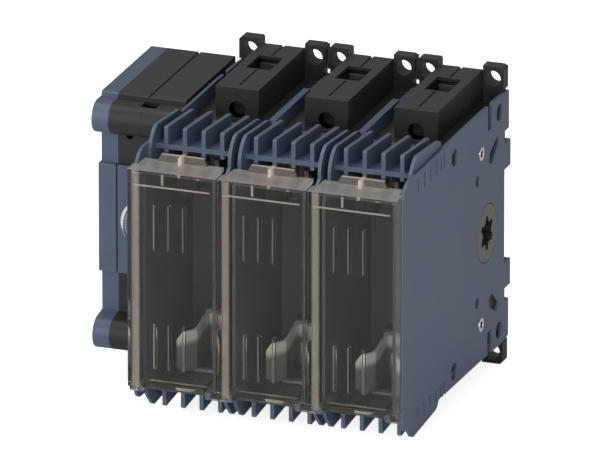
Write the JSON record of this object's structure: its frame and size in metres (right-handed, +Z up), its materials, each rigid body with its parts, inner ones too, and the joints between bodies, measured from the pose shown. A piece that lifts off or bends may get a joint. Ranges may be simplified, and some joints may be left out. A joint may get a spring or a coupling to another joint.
{
  "type": "fuse switch disconnector",
  "caption": "Panel-mounted fuse switch disconnector with poles side by side, smoked hinged fuse covers and a left-hand operating mechanism.",
  "frame": {"origin": "centre of the middle pole's fixing holes in the rear mounting plane", "axes": "+Z up, +Y to the rear into the panel, so the covers face -Y, and +X to the right seen from the front"},
  "size_m": [0.1464, 0.1311, 0.122],
  "materials": {
    "blue_grey_plastic": "fine matt moulding grain",
    "black_plastic": "matt thermoset moulding",
    "smoked_plastic": "polished transparent smoke grey",
    "rotor_plastic": "glass filled moulding",
    "gear_plastic": "natural engineering plastic",
    "plated_contact": "silver plated copper",
    "bright_steel": "bright plated steel",
    "zinc_steel": "zinc plated steel"
  },
  "bodies": {
    "housing": {"box_clamps": "zinc_steel", "clamp_screws": "zinc_steel", "detent_springs": "zinc_steel", "dial_plate": "blue_grey_plastic", "end_plate_left": "blue_grey_plastic", "end_plate_right": "blue_grey_plastic", "jaw_screws": "zinc_steel", "jaw_springs": "zinc_steel", "lower_fuse_jaw_1": "plated_contact", "lower_fuse_jaw_2": "plated_contact", "lower_fuse_jaw_3": "plated_contact", "lower_jaw_link_1": "plated_contact", "lower_jaw_link_2": "plated_contact", "lower_jaw_link_3": "plated_contact", "lower_terminal_contact_1": "plated_contact", "lower_terminal_contact_2": "plated_contact", "lower_terminal_contact_3": "plated_contact", "mechanism_left_half": "black_plastic", "mechanism_right_half": "black_plastic", "mechanism_screws": "bright_steel", "mechanism_side_cover": "blue_grey_plastic", "phase_barrier_1": "blue_grey_plastic", "phase_barrier_2": "blue_grey_plastic", "pole_case_1": "blue_grey_plastic", "pole_case_2": "blue_grey_plastic", "pole_case_3": "blue_grey_plastic", "pole_shell_left_1": "black_plastic", "pole_shell_left_2": "black_plastic", "pole_shell_left_3": "black_plastic", "pole_shell_right_1": "black_plastic", "pole_shell_right_2": "black_plastic", "pole_shell_right_3": "black_plastic", "tie_tubes": "bright_steel", "upper_fuse_jaw_1": "plated_contact", "upper_fuse_jaw_2": "plated_contact", "upper_fuse_jaw_3": "plated_contact", "upper_jaw_link_1": "plated_contact", "upper_jaw_link_2": "plated_contact", "upper_jaw_link_3": "plated_contact", "upper_terminal_contact_1": "plated_contact", "upper_terminal_contact_2": "plated_contact", "upper_terminal_contact_3": "plated_contact"},
    "cover_1": {"fuse_cover_1": "smoked_plastic"},
    "cover_2": {"fuse_cover_2": "smoked_plastic"},
    "cover_3": {"fuse_cover_3": "smoked_plastic"},
    "switch_shaft": {"rotor_1": "rotor_plastic", "rotor_2": "rotor_plastic", "rotor_3": "rotor_plastic", "moving_blades_1": "plated_contact", "moving_blades_2": "plated_contact", "moving_blades_3": "plated_contact", "output_coupling": "rotor_plastic", "shaft_gear": "gear_plastic"},
    "drive": {"drive_hub": "rotor_plastic", "drive_gear": "gear_plastic"}
  },
  "joints": [
    {"name": "cover_1_hinge", "type": "hinge", "parent": "housing", "child": "cover_1", "pos_m": [-0.0365, -0.127, -0.0413], "axis": [1, 0, 0], "range_deg": [0, 100]},
    {"name": "cover_2_hinge", "type": "hinge", "parent": "housing", "child": "cover_2", "pos_m": [0, -0.127, -0.0413], "axis": [1, 0, 0], "range_deg": [0, 100]},
    {"name": "cover_3_hinge", "type": "hinge", "parent": "housing", "child": "cover_3", "pos_m": [0.0365, -0.127, -0.0413], "axis": [1, 0, 0], "range_deg": [0, 100]},
    {"name": "switch_turn", "type": "hinge", "parent": "housing", "child": "switch_shaft", "pos_m": [0, -0.027, 0], "axis": [1, 0, 0], "range_deg": [0, 90]},
    {"name": "drive_turn", "type": "hinge", "parent": "housing", "child": "drive", "pos_m": [-0.0706, -0.027, 0], "axis": [0, 1, 0], "range_deg": [0, 90], "deforming": ["detent_springs"]}
  ],
  "couplings": [
    {"joint": "drive_turn", "follows": "switch_turn", "ratio": 1}
  ]
}
